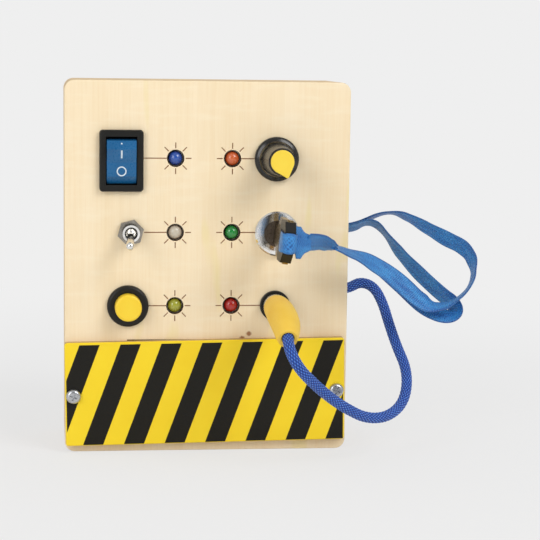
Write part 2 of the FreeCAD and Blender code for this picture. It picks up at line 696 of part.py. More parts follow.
# Key switch
def key_switch():
    x, z = LOCK_X, LOCK_Z
    ring_y = FACE - LOCK_RING_T
    floor_y = ring_y + LOCK_RECESS_T
    body_end = FACE + LOCK_BODY_L
    core = LOCK_CORE_D / 2
    barrel = turned(x, z, [(core + FIT, floor_y), (LOCK_RECESS_D / 2, floor_y), (LOCK_RECESS_D / 2, ring_y),
                           (LOCK_RING_D / 2 - LOCK_EASE, ring_y), (LOCK_RING_D / 2, ring_y + LOCK_EASE),
                           (LOCK_RING_D / 2, FACE), (LOCK_BODY_D / 2, FACE), (LOCK_BODY_D / 2, body_end),
                           (0, body_end), (0, body_end - LOCK_CORE_FLOOR),
                           (core + FIT, body_end - LOCK_CORE_FLOOR)])
    notch_z = z + LOCK_RECESS_D / 2 - LOCK_EASE
    notch = box(x - LOCK_NOTCH_W / 2, x + LOCK_NOTCH_W / 2, ring_y - 1, floor_y,
                notch_z, notch_z + LOCK_NOTCH_H)
    parts["lock_barrel"] = barrel.cut(notch)
    nut_end = FACE_IN + LOCK_NUT_T
    nut = hexagon(x, z, LOCK_NUT, FACE_IN, nut_end, NUT_TURN)
    parts["lock_nut"] = nut.cut(rod(x, z, LOCK_BODY_D / 2 + FIT, FACE_IN - 1, nut_end + 1))
    core_y = floor_y - LOCK_CORE_PROUD
    cylinder = rod(x, z, core, core_y, body_end - LOCK_CORE_FLOOR - RUN)
    keyway = box(x - KEY_T / 2 - LOOSE, x + KEY_T / 2 + LOOSE, core_y - 1, FACE + KEY_TIP_IN + KEYWAY_SPARE,
                 z - KEY_BLADE_H / 2 - LOOSE, z + KEY_BLADE_H / 2 + LOOSE)
    parts["lock_cylinder"] = lean(cylinder.cut(keyway), x, z, KEY_LEAN)


def side_plate(points, thickness):
    """Plate in the lock's upright plane over (distance out of the panel, half height) points."""
    upper = [V(LOCK_X - thickness / 2, FACE - out, LOCK_Z + half) for out, half in points]
    lower = [V(LOCK_X - thickness / 2, FACE - out, LOCK_Z - half) for out, half in reversed(points)]
    corners = upper + lower
    face = Part.Face(Part.makePolygon(corners + corners[:1]))
    return face.extrude(V(thickness, 0, 0))


def key_and_ribbon_knot():
    tip = -KEY_TIP_IN
    blade = KEY_BLADE_H / 2
    plate = KEY_PLATE_H / 2
    tips = KEY_TIPS_H / 2
    shoulder = KEY_SHOULDER_OUT
    step = KEY_SHOULDER_LIP
    half_tips = KEY_TIPS_L / 2
    metal = side_plate([(tip, blade - KEY_TIP_SLOPE), (tip + KEY_TIP_SLOPE, blade), (shoulder - step, blade),
                        (shoulder, blade + step), (shoulder + KEY_SHOULDER_L, plate),
                        (KEY_TIPS_OUT - half_tips - step, plate), (KEY_TIPS_OUT - half_tips, tips),
                        (KEY_TIPS_OUT + half_tips, tips), (KEY_TIPS_OUT + half_tips + step, plate)], KEY_T)
    head_end = KEY_HEAD_OUT + KEY_HEAD_L
    half = KEY_HEAD_H / 2
    cut_in = KEY_HEAD_CUT_IN
    cut_out = KEY_HEAD_CUT_OUT
    head = side_plate([(KEY_HEAD_OUT, half - cut_in), (KEY_HEAD_OUT + cut_in, half),
                       (head_end - cut_out, half), (head_end, half - cut_out)], KEY_HEAD_T)
    eye = box(LOCK_X - 10, LOCK_X + 10, FACE - KEY_SLOT_OUT - KEY_SLOT_L, FACE - KEY_SLOT_OUT,
              LOCK_Z - KEY_SLOT_H / 2, LOCK_Z + KEY_SLOT_H / 2)
    metal = metal.cut(eye)
    head = head.cut(metal).cut(eye)

    # The ribbon goes through the eye and round the end of the head
    bar_in = FACE - KEY_SLOT_OUT - KEY_SLOT_L
    bar_out = FACE - head_end
    inner = KEY_HEAD_T / 2 + FIT
    outer = inner + RIBBON_T
    low = LOCK_Z - RIBBON_W / 2
    high = LOCK_Z + RIBBON_W / 2
    loop = box(LOCK_X - outer, LOCK_X + outer, bar_out - FIT - RIBBON_T, bar_in + FIT + RIBBON_T, low, high)
    loop = loop.cut(box(LOCK_X - inner, LOCK_X + inner, bar_out - FIT, bar_in + FIT, low - 1, high + 1))
    loop = lean(loop, LOCK_X, LOCK_Z, KEY_LEAN)
    head = lean(head, LOCK_X, LOCK_Z, KEY_LEAN)
    metal = lean(metal, LOCK_X, LOCK_Z, KEY_LEAN)
    knot = loop.fuse(flap()).cut(head).cut(metal)
    parts["key_blade"] = metal
    parts["key_head"] = head
    parts["ribbon_knot"] = knot


def flap():
    """Ribbon flap that narrows from the key's head to the end of the lead."""
    end = LEAD_ROUTE[-1]
    ahead = (LEAD_ROUTE[-2] - end).normalize()
    start = end - ahead * FLAP_L
    tip = end - ahead * RUN
    across = V(0, 0, 1).cross(ahead).normalize()
    upright = ahead.cross(across).normalize()

    def outline(middle, height):
        corners = []
        for side, up in ((-1, -1), (1, -1), (1, 1), (-1, 1)):
            corners.append(middle + across * (side * FLAP_T / 2) + upright * (up * height / 2))
        return Part.makePolygon(corners + corners[:1])

    return Part.makeLoft([outline(start, FLAP_START_H), outline(tip, FLAP_END_H)], True, True)


# Socket and plug
def jack_and_plug():
    x, z = JACK_X, JACK_Z
    barrel_y = FACE - JACK_BARREL_PROUD
    barrel_end = FACE + JACK_BARREL_IN
    outer = JACK_BARREL_D / 2
    flange_y = FACE - JACK_FLANGE_T
    flange = sleeve(x, z, JACK_FLANGE_D / 2, outer + FIT, flange_y, FACE)
    parts["jack_flange"] = ease_outer(flange, flange_y, JACK_FLANGE_D / 2, JACK_EASE)
    parts["jack_barrel"] = sleeve(x, z, outer, JACK_BARREL_BORE_D / 2, barrel_y, barrel_end)
    insulator = rod(x, z, JACK_BARREL_BORE_D / 2, barrel_y + JACK_INSULATOR_IN, barrel_end)
    pin_bore_end = barrel_end - JACK_INSULATOR_FLOOR
    bore = rod(x, z, PLUG_PIN_D / 2 + FIT, barrel_y, pin_bore_end)
    parts["jack_insulator"] = insulator.cut(bore)
    nut_end = FACE_IN + JACK_NUT_T
    nut = hexagon(x, z, JACK_NUT, FACE_IN, nut_end)
    parts["jack_nut"] = nut.cut(rod(x, z, outer + FIT, FACE_IN - 1, nut_end + 1))

    shell_front = flange_y - RUN
    cap_in = barrel_y - RUN
    cap_out = cap_in - PLUG_SHELL_CAP_T
    shell = rod(x, z, PLUG_SHELL_D / 2, cap_out, shell_front)
    shell = shell.cut(rod(x, z, outer + FIT, cap_in, shell_front + 1))
    parts["plug_shell"] = shell.cut(rod(x, z, PLUG_INSULATOR_D / 2, cap_out - 1, cap_in + 1))
    insulator_out = cap_in - PLUG_INSULATOR_L
    insulator = rod(x, z, PLUG_INSULATOR_D / 2, insulator_out, cap_in)
    pin = rod(x, z, PLUG_PIN_D / 2, insulator_out, insulator_out + PLUG_PIN_L)
    pin = pin.fuse(Part.makeCone(PLUG_PIN_D / 2, PLUG_PIN_D / 4, PLUG_PIN_TIP_L,
                                 V(x, insulator_out + PLUG_PIN_L, z), V(0, 1, 0)))
    parts["plug_pin"] = pin
    parts["plug_insulator"] = insulator.cut(rod(x, z, PLUG_PIN_D / 2, insulator_out - 1, cap_in + 1))

    rings = []
    for out, shift, drop, radius, down in BOOT_SECTIONS:
        a = math.radians(down)
        centre = V(x + shift, FACE - out, z - drop)
        rings.append(Part.Wire(Part.makeCircle(radius, centre, V(0, -math.cos(a), -math.sin(a)))))
    boot = Part.makeLoft(rings, True, False)
    hollow = rod(x, z, PLUG_SHELL_D / 2, cap_out, FACE)
    hollow = hollow.fuse(rod(x, z, PLUG_INSULATOR_D / 2, insulator_out, FACE))
    inward = (ROPE[0] - ROPE[1]).normalize()
    seat = Part.makeCylinder(ROPE_SEAT_D / 2, 4 * ROPE_SEAT_T, ROPE[0], inward * -1)
    parts["plug_boot"] = boot.cut(hollow).cut(seat)


def ease_outer(shape, y, radius, size):
    """Round over the circle of this radius in the plane at y."""
    edges = []
    for edge in shape.Edges:
        curve = edge.Curve
        if isinstance(curve, Part.Circle) and abs(curve.Radius - radius) < 1e-6:
            if abs(edge.Vertexes[0].Y - y) < 1e-6:
                edges.append(edge)
    return shape.makeFillet(size, edges)


# Lamps
LAMP_COLOURS = [("blue", "orange"), ("white", "green"), ("yellow", "red")]


def lamps():
    tip = FACE - LAMP_PROUD
    base = tip + LAMP_LENGTH
    radius = LAMP_D / 2
    glue = []
    leads = []
    resistors = []
    for z, colours in zip(ROWS, LAMP_COLOURS):
        for x, colour, towards in zip((LAMP_LEFT_X, LAMP_RIGHT_X), colours, (-1, 1)):
            dome = Part.makeSphere(radius, V(x, tip + radius, z))
            lamp = dome.fuse(rod(x, z, radius, tip + radius, base))
            lamp = lamp.fuse(rod(x, z, LAMP_FLANGE_D / 2, base - LAMP_FLANGE_T, base))
            parts["led_" + colour] = lamp.removeSplitter()
            glue.append(sleeve(x, z, GLUE_D / 2, radius, FACE_IN, base - LAMP_FLANGE_T))
            anode = x + towards * LEAD_SPACING / 2
            cathode = x - towards * LEAD_SPACING / 2
            half = LEAD_W / 2
            resistor_y = base + LEAD_LENGTH
            resistor_end = resistor_y + RESISTOR_L
            leads.append(box(anode - half, anode + half, base, resistor_y, z - half, z + half))
            leads.append(box(cathode - half, cathode + half, base, GROUND_Y - GROUND_STRIP / 2,
                             z - half, z + half))
            leads.append(box(anode - half, anode + half, resistor_end, resistor_end + RESISTOR_LEAD,
                             z - half, z + half))
            resistors.append(rod(anode, z, RESISTOR_D / 2, resistor_y, resistor_end))
    parts["led_glue"] = Part.makeCompound(glue)
    parts["led_leads"] = Part.makeCompound(leads)
    parts["resistors"] = Part.makeCompound(resistors)
    return base + LEAD_LENGTH + RESISTOR_L + RESISTOR_LEAD


# Battery box
def battery_box():
    half_w = SLOT_W / 2 + HOLDER_LAP
    top = SLOT_TOP + HOLDER_LAP
    bottom = SLOT_BOTTOM - HOLDER_LAP
    cell_y = FACE_IN + CELL_SET_BACK + CELL_D / 2
    floor_y = cell_y + CELL_D / 2 + CELL_SIDE_GAP
    tray = box(-half_w, half_w, FACE_IN, floor_y + HOLDER_WALL, bottom, top)
    tray = tray.cut(box(-half_w + HOLDER_WALL, half_w - HOLDER_WALL, FACE_IN - 1, floor_y,
                        bottom + HOLDER_WALL, top - HOLDER_WALL))
    cells = []
    contacts = []
    lug_cuts = []
    inner = half_w - HOLDER_WALL
    reach = CELL_L / 2 + CELL_NUB_L / 2
    plate_y0 = FACE_IN + CELL_SET_BACK + CONTACT_INSET
    plate_y1 = floor_y - CONTACT_INSET
    for side in (1, -1):
        z = SLOT_Z + side * CELL_PITCH / 2
        can_x0 = -reach + (CELL_NUB_L if side > 0 else 0)
        can = Part.makeCylinder(CELL_D / 2, CELL_L, V(can_x0, cell_y, z), V(1, 0, 0))
        nub_x = -reach if side > 0 else reach - CELL_NUB_L
        nub = Part.makeCylinder(CELL_NUB_D / 2, CELL_NUB_L, V(nub_x, cell_y, z), V(1, 0, 0))
        cells.append(can.fuse(nub))
        # Left end: one plate with its lug for each cell
        plate = box(-inner, -inner + CONTACT_T, plate_y0, plate_y1, z - CONTACT_W / 2, z + CONTACT_W / 2)
        button = Part.makeCylinder(CELL_NUB_D / 2, inner - CONTACT_T - reach,
                                   V(-inner + CONTACT_T, cell_y, z), V(1, 0, 0))
        lug = box(-half_w - LUG_OUT, -inner, GROUND_Y - LUG_W / 2, GROUND_Y + LUG_W / 2,
                  z - TAB_T / 2, z + TAB_T / 2)
        contacts.append(plate.fuse([button, lug]))
        slit_w = LUG_W / 2 + LOOSE
        slit_t = TAB_T / 2 + LOOSE
        lug_cuts.append(box(-half_w - 1, -inner + LOOSE, GROUND_Y - slit_w, GROUND_Y + slit_w,
                            z - slit_t, z + slit_t))
    # Right end: one plate joins both cells
    bridge = box(inner - CONTACT_T, inner, plate_y0, plate_y1,
                 SLOT_Z - CELL_PITCH / 2 - CONTACT_W / 2, SLOT_Z + CELL_PITCH / 2 + CONTACT_W / 2)
    for side in (1, -1):
        z = SLOT_Z + side * CELL_PITCH / 2
        button = Part.makeCylinder(CELL_NUB_D / 2, inner - CONTACT_T - reach,
                                   V(reach, cell_y, z), V(1, 0, 0))
        bridge = bridge.fuse(button)
    contacts.append(bridge)
    parts["battery_holder"] = tray.cut(Part.makeCompound(lug_cuts))
    parts["batteries"] = Part.makeCompound(cells)
    parts["battery_contacts"] = Part.makeCompound(contacts)


def battery_cover():
    width = PANEL_W - COVER_W_LESS
    front = FACE - COVER_T
    cover = rounded(COVER_X, COVER_Z, width, COVER_H, COVER_R, front, FACE)
    cover = lean(ease(cover, front, EDGE_EASE), COVER_X, COVER_Z, -COVER_TURN)
    screws = []
    for x, z in screw_places():
        cover = cover.cut(rod(x, z, SCREW_D / 2 + FIT, front - 1, FACE + 1))
        head_y = front - SCREW_HEAD_T
        screw = ease(rod(x, z, SCREW_HEAD_D / 2, head_y, front), head_y, SCREW_HEAD_EASE)
        shank_end = front + SCREW_L - SCREW_TIP_L
        tip = Part.makeCone(SCREW_D / 2, SCREW_D / 8, SCREW_TIP_L, V(x, shank_end, z), V(0, 1, 0))
        screw = screw.fuse([rod(x, z, SCREW_D / 2, front, shank_end), tip])
        for turn in (CROSS_TURN, CROSS_TURN + RIGHT_ANGLE):
            cross = box(x - CROSS_L / 2, x + CROSS_L / 2, head_y - 1, head_y + CROSS_DEPTH,
                        z - CROSS_W / 2, z + CROSS_W / 2)
            screw = screw.cut(lean(cross, x, z, turn))
        screws.append(screw)
    parts["battery_cover"] = cover
    parts["cover_screws"] = Part.makeCompound(screws)


# Wiring
def tabs_and_wires(resistor_lead_end):
    """Two tabs on each control, its wire to the lamp's resistor and the common feed."""
    controls = [[(ROCKER_X, ROCKER_Z, FACE + ROCKER_BODY_DEPTH), (KNOB_X, KNOB_Z, FACE_IN + POT_BODY_T)],
                [(TOGGLE_X, TOGGLE_Z, FACE_IN + TOGGLE_WASHER_T + TOGGLE_BODY_T),
                 (LOCK_X, LOCK_Z, FACE + LOCK_BODY_L)],
                [(PUSH_X, PUSH_Z, FACE + PUSH_BODY_L), (JACK_X, JACK_Z, FACE + JACK_BARREL_IN)]]
    tabs = []
    led_wires = []
    feeds = {-1: [], 1: []}
    for z, row in zip(ROWS, controls):
        for (x, control_z, body_y), outward, lamp_x in zip(row, (-1, 1), (LAMP_LEFT_X, LAMP_RIGHT_X)):
            tab_end = body_y + TAB_L
            for side in (-1, 1):
                centre = x + side * TAB_OFFSET
                tabs.append(box(centre - TAB_W / 2, centre + TAB_W / 2, body_y, tab_end,
                                control_z - TAB_T / 2, control_z + TAB_T / 2))
            out_x = x - outward * TAB_OFFSET
            lead_x = lamp_x + outward * LEAD_SPACING / 2
            led_wires.append(wire([V(lead_x, resistor_lead_end, z), V(lead_x, LED_WIRE_Y, z),
                                   V(out_x, LED_WIRE_Y, control_z), V(out_x, tab_end, control_z)]))
            feeds[outward].append(V(x + outward * TAB_OFFSET, tab_end, control_z))
    beside = V(WIRE_D / 2 + FIT, 0, 0)
    feed_wires = []

    def hop(start, end, level):
        feed_wires.append(wire([start, V(start.x, level, start.z), V(end.x, level, end.z), end]))

    for column in feeds.values():
        hop(column[0], column[1] + beside, FEED_Y)
        hop(column[1] - beside, column[2] + beside, FEED_Y)
    hop(feeds[-1][2] - beside, feeds[1][2] - beside, CROSS_WIRE_Y)
    plus_z = SLOT_Z + CELL_PITCH / 2
    minus_z = SLOT_Z - CELL_PITCH / 2
    lug_x = -SLOT_W / 2 - HOLDER_LAP - LUG_OUT
    push_feed = feeds[-1][2] - beside * 3
    corner_x = lug_x - LUG_OUT
    feed_wires.append(wire([V(lug_x, GROUND_Y, plus_z), V(corner_x, GROUND_Y, plus_z),
                            V(corner_x, FEED_Y, plus_z), V(push_feed.x, FEED_Y, push_feed.z), push_feed]))
    parts["switch_tabs"] = Part.makeCompound(tabs)
    parts["led_wires"] = Part.makeCompound(led_wires)
    parts["feed_wires"] = Part.makeCompound(feed_wires)

    # Bare strips join the lamps' other leads, and a wire takes them to the battery box
    left_x = LAMP_LEFT_X + LEAD_SPACING / 2
    right_x = LAMP_RIGHT_X - LEAD_SPACING / 2
    half = GROUND_STRIP / 2
    strip_bottom = ROWS[2] - STRIP_UNDER
    strip_top = ROWS[0] + STRIP_OVER
    ground = []
    for x in (left_x, right_x):
        ground.append(box(x - half, x + half, GROUND_Y - half, GROUND_Y + half, strip_bottom, strip_top))
    link_z = (ROWS[0] + ROWS[1]) / 2
    ground.append(Part.makeCylinder(LINK_D / 2, right_x - left_x - 2 * half,
                                    V(left_x + half, GROUND_Y, link_z), V(1, 0, 0)))
    level = SLOT_TOP + HOLDER_LAP + WIRE_D + WIRE_SPARE
    far_x = corner_x - 2 * WIRE_D - WIRE_SPARE
    ground.append(wire([V(left_x, GROUND_Y, strip_bottom), V(left_x, GROUND_Y, level),
                        V(far_x, GROUND_Y, level), V(far_x, GROUND_Y, minus_z), V(lug_x, GROUND_Y, minus_z)]))
    parts["ground_wires"] = Part.makeCompound(ground)


def cords():
    parts["rope"] = cord("rope", ROPE, ROPE_D)
    parts["ribbon_strand_a"] = cord("ribbon_strand_a", STRAND_A, STRAND_D)
    parts["ribbon_strand_b"] = cord("ribbon_strand_b", STRAND_B, STRAND_D)
    parts["ribbon_lead"] = cord("ribbon_lead", LEAD_ROUTE, LEAD_CORD_D)
    parts["end_knots"] = end_knots()


parts["front_panel"] = front_panel()
case_walls()
parts["back_panel"] = ease(case_block(BACK_IN, BACK), BACK, EDGE_EASE)
rocker()
toggle()
push_button()
rotary()
key_switch()
key_and_ribbon_knot()
jack_and_plug()
wire_start = lamps()
battery_box()
battery_cover()
tabs_and_wires(wire_start)
cords()

os.makedirs("parts", exist_ok=True)
for name, shape in parts.items():
    shape.exportStep("parts/" + name + ".step")
print(len(parts), "nodes,", sum(len(shape.Solids) for shape in parts.values()), "solids")
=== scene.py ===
import math

import bmesh
import bpy
from mathutils import Matrix, Vector
from mathutils.bvhtree import BVHTree


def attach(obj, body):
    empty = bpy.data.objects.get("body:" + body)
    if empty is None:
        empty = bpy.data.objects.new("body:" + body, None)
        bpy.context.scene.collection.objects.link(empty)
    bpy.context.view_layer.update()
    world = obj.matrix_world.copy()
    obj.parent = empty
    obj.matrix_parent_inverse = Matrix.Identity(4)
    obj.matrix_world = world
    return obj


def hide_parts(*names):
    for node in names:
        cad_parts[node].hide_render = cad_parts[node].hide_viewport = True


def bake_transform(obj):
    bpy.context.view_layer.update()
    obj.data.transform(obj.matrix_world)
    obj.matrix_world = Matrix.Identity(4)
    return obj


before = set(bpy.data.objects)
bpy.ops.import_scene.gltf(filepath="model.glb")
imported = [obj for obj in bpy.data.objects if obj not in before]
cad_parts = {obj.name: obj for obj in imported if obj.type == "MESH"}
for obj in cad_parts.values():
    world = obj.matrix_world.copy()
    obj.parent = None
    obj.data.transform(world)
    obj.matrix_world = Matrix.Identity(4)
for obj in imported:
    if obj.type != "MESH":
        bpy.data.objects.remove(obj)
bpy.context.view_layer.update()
MM = 0.001
PANEL_FRONT = -0.019
PANEL_THICK = 0.003
BEHIND_PANEL = -0.01
# Small brown knots on the panel: x, z and size
WOOD_KNOTS = ((0.0146, 0.0410, 0.0008), (0.0122, 0.0395, 0.0007))
TAPE_WIDTH = 0.0067
TAPE_THICK = 0.0007


def make_camera():
    """Camera at the photograph's place: 540 x 540 pixels, focal length and centre in pixels."""
    pixels = 540
    focal, centre_x, centre_y = 1819.53, 266.96, 297.10
    yaw, pitch, roll = (math.radians(a) for a in (6.81, 7.717, 0.751))
    forward = Vector((math.sin(yaw) * math.cos(pitch), math.cos(yaw) * math.cos(pitch),
                      -math.sin(pitch)))
    right = Vector((math.cos(yaw), -math.sin(yaw), 0))
    up = right.cross(forward)
    turned_right = right * math.cos(roll) + up * math.sin(roll)
    turned_up = up * math.cos(roll) - right * math.sin(roll)
    data = bpy.data.cameras.new("camera")
    data.sensor_width = 36.0
    data.lens = focal * data.sensor_width / pixels
    data.shift_x = (pixels / 2 - centre_x) / pixels
    data.shift_y = (centre_y - pixels / 2) / pixels
    data.clip_start = 0.01
    data.clip_end = 60
    camera = bpy.data.objects.new("camera", data)
    bpy.context.collection.objects.link(camera)
    axes = Matrix((turned_right, turned_up, -forward)).transposed().to_4x4()
    camera.matrix_world = Matrix.Translation(Vector((-53.39, -640.18, 138.56)) * MM) @ axes
    bpy.context.scene.camera = camera
    return forward


CAM_FORWARD = make_camera()


# Shader helpers
def colour(r, g, b):
    def linear(c):
        c /= 255
        return c / 12.92 if c <= 0.04045 else ((c + 0.055) / 1.055) ** 2.4
    return (linear(r), linear(g), linear(b), 1.0)


class Shader:
    def __init__(self, name, roughness=0.5, metallic=0.0, **sockets):
        self.mat = bpy.data.materials.new(name)
        self.mat.use_nodes = True
        self.tree = self.mat.node_tree
        self.bsdf = self.tree.nodes["Principled BSDF"]
        self.bsdf.inputs["Roughness"].default_value = roughness
        self.bsdf.inputs["Metallic"].default_value = metallic
        for key, value in sockets.items():
            self.bsdf.inputs[key.replace("_", " ")].default_value = value
        coords = self.tree.nodes.new("ShaderNodeTexCoord")
        self.object = coords.outputs["Object"]
        self.uv = coords.outputs["UV"]
        self.normal = coords.outputs["Normal"]

    def put(self, socket, value):
        if isinstance(value, bpy.types.NodeSocket):
            self.tree.links.new(value, socket)
        else:
            socket.default_value = value

    def math(self, operation, a, b=0.0, c=0.0, clamp=False):
        node = self.tree.nodes.new("ShaderNodeMath")
        node.operation = operation
        node.use_clamp = clamp
        for socket, value in zip(node.inputs, (a, b, c)):
            self.put(socket, value)
        return node.outputs[0]

    def scaled(self, source, x, y, z, at=(0, 0, 0), turn=(0, 0, 0)):
        node = self.tree.nodes.new("ShaderNodeMapping")
        self.put(node.inputs["Vector"], source)
        node.inputs["Scale"].default_value = (x, y, z)
        node.inputs["Location"].default_value = at
        node.inputs["Rotation"].default_value = turn
        return node.outputs[0]

    def split(self, source):
        node = self.tree.nodes.new("ShaderNodeSeparateXYZ")
        self.put(node.inputs[0], source)
        return node.outputs

    def noise(self, source, scale=1.0, detail=3.0, rough=0.5):
        node = self.tree.nodes.new("ShaderNodeTexNoise")
        self.put(node.inputs["Vector"], source)
        node.inputs["Scale"].default_value = scale
        node.inputs["Detail"].default_value = detail
        node.inputs["Roughness"].default_value = rough
        return node.outputs["Fac"]

    def spread(self, value, low, high, to_low=0.0, to_high=1.0):
        node = self.tree.nodes.new("ShaderNodeMapRange")
        for socket, item in zip(node.inputs, (value, low, high, to_low, to_high)):
            self.put(socket, item)
        return node.outputs[0]

    def mix(self, factor, a, b):
        node = self.tree.nodes.new("ShaderNodeMix")
        node.data_type = "RGBA"
        self.put(node.inputs["Factor"], factor)
        self.put(node.inputs[6], a)
        self.put(node.inputs[7], b)
        return node.outputs[2]

    def paint(self, value):
        self.put(self.bsdf.inputs["Base Color"], value)
        return self

    def rough(self, value):
        self.put(self.bsdf.inputs["Roughness"], value)
        return self

    def bump(self, height, distance, strength=1.0):
        node = self.tree.nodes.new("ShaderNodeBump")
        node.inputs["Strength"].default_value = strength
        node.inputs["Distance"].default_value = distance
        self.put(node.inputs["Height"], height)
        self.put(self.bsdf.inputs["Normal"], node.outputs[0])
        return self

    def vary(self, base, other, scale, bump, rough_low, rough_high, detail=4.0):
        """Mottled colour, roughness and fine bump for a moulded, cast or drawn surface."""
        broad = self.noise(self.object, scale, detail)
        fine = self.noise(self.object, scale * 14, 3.0)
        self.paint(self.mix(self.spread(broad, 0.3, 0.7), base, other))
        self.rough(self.spread(fine, 0.3, 0.7, rough_low, rough_high))
        return self.bump(fine, bump)


def wood(name, base, dark, pale, edge=None, plies=None):
    """Upright grain with pale streaks. plies is a panel's front and thickness, and edge its end grain."""
    s = Shader(name, Specular_IOR_Level=0.3)
    fibres = s.noise(s.scaled(s.object, 1600, 1600, 45), 1.0, 4.0, 0.6)
    bands = s.noise(s.scaled(s.object, 120, 120, 6), 1.0, 3.0, 0.5)
    ripple = s.noise(s.scaled(s.object, 90, 90, 420), 1.0, 2.0)
    tone = s.math("ADD", s.math("MULTIPLY", fibres, 0.45), s.math("MULTIPLY", bands, 0.55))
    shade = s.mix(s.spread(tone, 0.36, 0.66), base, dark)
    shade = s.mix(s.spread(ripple, 0.52, 0.75, 0.0, 0.35), shade, pale)
    streak = s.noise(s.scaled(s.object, 190, 190, 38, at=(3.1, 0, 1.7)), 1.0, 1.0)
    shade = s.mix(s.spread(streak, 0.66, 0.78, 0.0, 0.55), shade, colour(244, 226, 160))
    axes = s.split(s.object)
    on_panel = s.math("LESS_THAN", axes[1], BEHIND_PANEL)
    for spot_x, spot_z, size in WOOD_KNOTS:
        dx = s.math("DIVIDE", s.math("SUBTRACT", axes[0], spot_x), 1.25)
        dz = s.math("SUBTRACT", axes[2], spot_z)
        far = s.math("SQRT", s.math("ADD", s.math("MULTIPLY", dx, dx), s.math("MULTIPLY", dz, dz)))
        far = s.math("ADD", far, s.math("MULTIPLY", s.math("SUBTRACT", fibres, 0.5), 0.0008))
        knot = s.math("MULTIPLY", s.spread(far, size * 0.6, size * 1.25, 0.85, 0.0), on_panel)
        shade = s.mix(knot, shade, colour(150, 88, 38))
    if plies:
        facing = s.math("ABSOLUTE", s.split(s.normal)[1])
        side = s.spread(facing, 0.25, 0.45, 1.0, 0.0)
        depth = s.math("DIVIDE", s.math("SUBTRACT", axes[1], plies[0]), plies[1])
        core = s.math("LESS_THAN", s.math("ABSOLUTE", s.math("SUBTRACT", depth, 0.5)), 0.17)
        pores = s.noise(s.scaled(s.object, 700, 3000, 700), 1.0, 3.0)
        end = s.mix(s.spread(pores, 0.35, 0.7), edge, dark)
        end = s.mix(s.math("MULTIPLY", core, 0.55), end, colour(196, 158, 108))
        shade = s.mix(side, shade, end)
        # Scorched walls and floors of the engraved rays, the lamp holes and the switches' cut-outs
        across = s.math("LESS_THAN", s.math("ABSOLUTE", axes[0]), 0.047)
        upright = s.math("LESS_THAN", s.math("ABSOLUTE", s.math("SUBTRACT", axes[2], 0.064)), 0.061)
        within = s.math("MULTIPLY", s.math("MULTIPLY", across, upright), on_panel)
        sunk = s.spread(axes[1], PANEL_FRONT + 0.00003, PANEL_FRONT + 0.00015)
        deep = s.spread(axes[1], PANEL_FRONT + 0.0004, PANEL_FRONT + 0.0008)
        burnt = s.mix(deep, colour(166, 116, 74), colour(124, 90, 60))
        shade = s.mix(s.math("MULTIPLY", within, sunk), shade, burnt)
    s.paint(shade)
    s.rough(s.spread(fibres, 0.3, 0.7, 0.5, 0.72))
    return s.bump(s.math("ADD", fibres, s.math("MULTIPLY", ripple, 0.4)), 0.00006).mat


def striped():
    """Yellow and black hazard stripes on the battery cover, slanted 21 degrees from upright."""
    centre_x, centre_z, turn = -0.00042, 0.0212, math.radians(0.85)
    slope, start, pitch = 0.3833, 0.04997, 0.01408
    s = Shader("striped_board", 0.4, Specular_IOR_Level=0.25)
    axes = s.split(s.object)
    dx = s.math("SUBTRACT", axes[0], centre_x)
    dz = s.math("SUBTRACT", axes[2], centre_z)
    cos, sin = math.cos(turn), math.sin(turn)
    u = s.math("ADD", s.math("MULTIPLY", dx, cos), s.math("MULTIPLY", dz, sin))
    v = s.math("SUBTRACT", s.math("MULTIPLY", dz, cos), s.math("MULTIPLY", dx, sin))
    waver = s.math("MULTIPLY", s.math("SUBTRACT", s.noise(s.object, 900.0, 2.0), 0.5), 0.00012)
    along = s.math("ADD", s.math("SUBTRACT", u, s.math("MULTIPLY", v, slope)), start)
    along = s.math("DIVIDE", s.math("ADD", along, waver), pitch)
    share = s.math("FRACT", s.math("ADD", along, 8.0))
    black = s.math("MULTIPLY", s.spread(share, 0.0, 0.006), s.spread(share, 0.494, 0.5, 1.0, 0.0))
    inside = s.math("MULTIPLY", s.spread(v, 0.0171, 0.0172, 1.0, 0.0), s.spread(v, -0.0178, -0.0177))
    inside = s.math("MULTIPLY", inside, s.spread(s.math("ABSOLUTE", u), 0.0480, 0.0481, 1.0, 0.0))
    front = s.spread(s.split(s.normal)[1], -0.6, -0.4, 1.0, 0.0)
    black = s.math("MULTIPLY", s.math("MULTIPLY", black, inside), front)
    broad = s.noise(s.object, 60.0, 4.0)
    fine = s.noise(s.object, 2600.0, 3.0)
    yellow = s.mix(s.spread(broad, 0.3, 0.7), colour(254, 222, 46), colour(250, 214, 40))
    dark = s.mix(s.spread(fine, 0.3, 0.7), colour(20, 18, 13), colour(28, 26, 20))
    pores = s.noise(s.scaled(s.object, 700, 3000, 700), 1.0, 3.0)
    edge = s.mix(s.spread(pores, 0.35, 0.7), colour(206, 172, 116), colour(176, 138, 84))
    face = s.mix(black, yellow, dark)
    s.paint(s.mix(s.spread(s.split(s.normal)[1], -0.3, -0.1), face, edge))
    s.rough(s.spread(fine, 0.3, 0.7, 0.32, 0.46))
    return s.bump(fine, 0.00002).mat


def plastic(name, base, other, low=0.28, high=0.42, bump=0.00002, scale=140.0, **sockets):
    return Shader(name, **sockets).vary(base, other, scale, bump, low, high).mat


def metal(name, base, other, low=0.1, high=0.24, bump=0.00001, scale=220.0):
    return Shader(name, metallic=1.0).vary(base, other, scale, bump, low, high).mat


